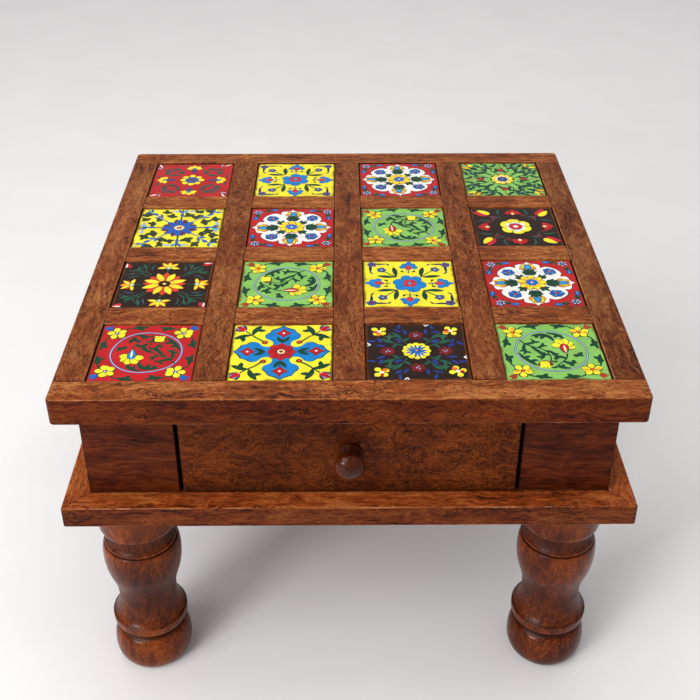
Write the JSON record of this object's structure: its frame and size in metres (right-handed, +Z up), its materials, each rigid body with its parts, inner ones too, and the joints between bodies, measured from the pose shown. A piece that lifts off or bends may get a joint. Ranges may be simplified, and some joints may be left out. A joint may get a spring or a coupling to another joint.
{
  "type": "low table",
  "caption": "Low square wooden table with a tiled top, a shallow drawer with a turned knob, a mitred base and turned bun-footed legs.",
  "frame": {"origin": "middle of the footprint on the floor, with the drawer knob's reach counted in", "axes": "+Z up, front with the drawer towards -Y, +X to the right seen from the front"},
  "size_m": [0.425, 0.4314, 0.2848],
  "materials": {
    "top_wood": "satin lacquer",
    "carcase_wood": "satin lacquer",
    "base_wood": "satin lacquer",
    "turned_wood": "satin lacquer",
    "drawer_wood": "satin lacquer",
    "inner_wood": "bare, planed",
    "tile_red": "glossy glaze, hand painted",
    "tile_yellow": "glossy glaze, hand painted",
    "tile_green": "glossy glaze, hand painted",
    "tile_black": "glossy glaze, hand painted"
  },
  "bodies": {
    "table": {"top_panel": "inner_wood", "top_rail_left": "top_wood", "top_rail_front": "top_wood", "top_rail_right": "top_wood", "top_rail_back": "top_wood", "top_bar_1": "top_wood", "top_bar_2": "top_wood", "top_bar_3": "top_wood", "crossbar_1_1": "top_wood", "crossbar_1_2": "top_wood", "crossbar_1_3": "top_wood", "crossbar_1_4": "top_wood", "crossbar_2_1": "top_wood", "crossbar_2_2": "top_wood", "crossbar_2_3": "top_wood", "crossbar_2_4": "top_wood", "crossbar_3_1": "top_wood", "crossbar_3_2": "top_wood", "crossbar_3_3": "top_wood", "crossbar_3_4": "top_wood", "tile_1_1": "tile_red", "tile_1_2": "tile_yellow", "tile_1_3": "tile_red", "tile_1_4": "tile_green", "tile_2_1": "tile_yellow", "tile_2_2": "tile_red", "tile_2_3": "tile_green", "tile_2_4": "tile_black", "tile_3_1": "tile_black", "tile_3_2": "tile_green", "tile_3_3": "tile_yellow", "tile_3_4": "tile_red", "tile_4_1": "tile_red", "tile_4_2": "tile_yellow", "tile_4_3": "tile_black", "tile_4_4": "tile_green", "front_stile_left": "carcase_wood", "front_stile_right": "carcase_wood", "carcase_side_left": "carcase_wood", "carcase_side_right": "carcase_wood", "carcase_back": "carcase_wood", "base_rail_left": "base_wood", "base_rail_front": "base_wood", "base_rail_right": "base_wood", "base_rail_back": "base_wood", "base_board": "base_wood", "leg_front_left": "turned_wood", "leg_front_right": "turned_wood", "leg_back_left": "turned_wood", "leg_back_right": "turned_wood", "drawer_guide_left": "inner_wood", "drawer_guide_right": "inner_wood"},
    "drawer": {"drawer_front": "drawer_wood", "drawer_side_left": "inner_wood", "drawer_side_right": "inner_wood", "drawer_back": "inner_wood", "drawer_bottom": "inner_wood", "drawer_knob": "turned_wood"}
  },
  "joints": [
    {"name": "drawer_slide", "type": "slide", "parent": "table", "child": "drawer", "axis": [0, -1, 0], "range_m": [0, 0.24]}
  ]
}
